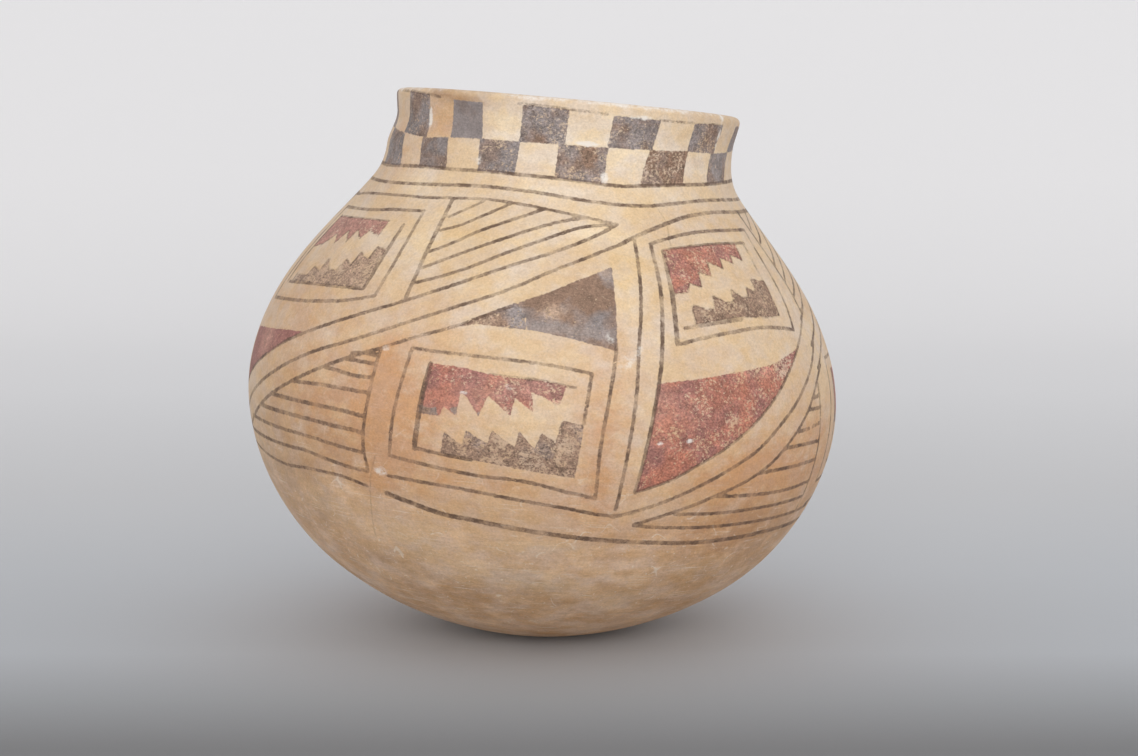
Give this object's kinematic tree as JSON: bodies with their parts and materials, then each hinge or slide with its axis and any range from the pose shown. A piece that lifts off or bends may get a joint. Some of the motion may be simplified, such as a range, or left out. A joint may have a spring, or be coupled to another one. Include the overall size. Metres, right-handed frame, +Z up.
{
  "type": "pottery jar",
  "caption": "Round-bottomed coil-built pottery jar with a full belly, an inward shoulder, a short upright neck and a slanting rim, for holding water or dry stores.",
  "frame": {"origin": "middle of the worn flat on the round bottom, where the jar touches the ground", "axes": "+Z up, square to the ground; the front of the picture is towards -Y; the jar's own axis leans 4 degrees from +Z towards +X"},
  "size_m": [0.2399, 0.24, 0.2232],
  "materials": {
    "buff_base": "stone-polished buff clay, satin, with streaks",
    "cream_slip": "cream slip, low sheen, painted in dark brown and red mineral paint"
  },
  "bodies": {
    "root": {"base_bowl": "buff_base", "belly_coil_1": "buff_base", "belly_coil_2": "buff_base", "belly_coil_3": "cream_slip", "belly_coil_4": "cream_slip", "shoulder_coil_1": "cream_slip", "shoulder_coil_2": "cream_slip", "shoulder_coil_3": "cream_slip", "neck_coil_1": "cream_slip", "neck_coil_2": "cream_slip", "rim_coil": "cream_slip"}
  },
  "joints": []
}
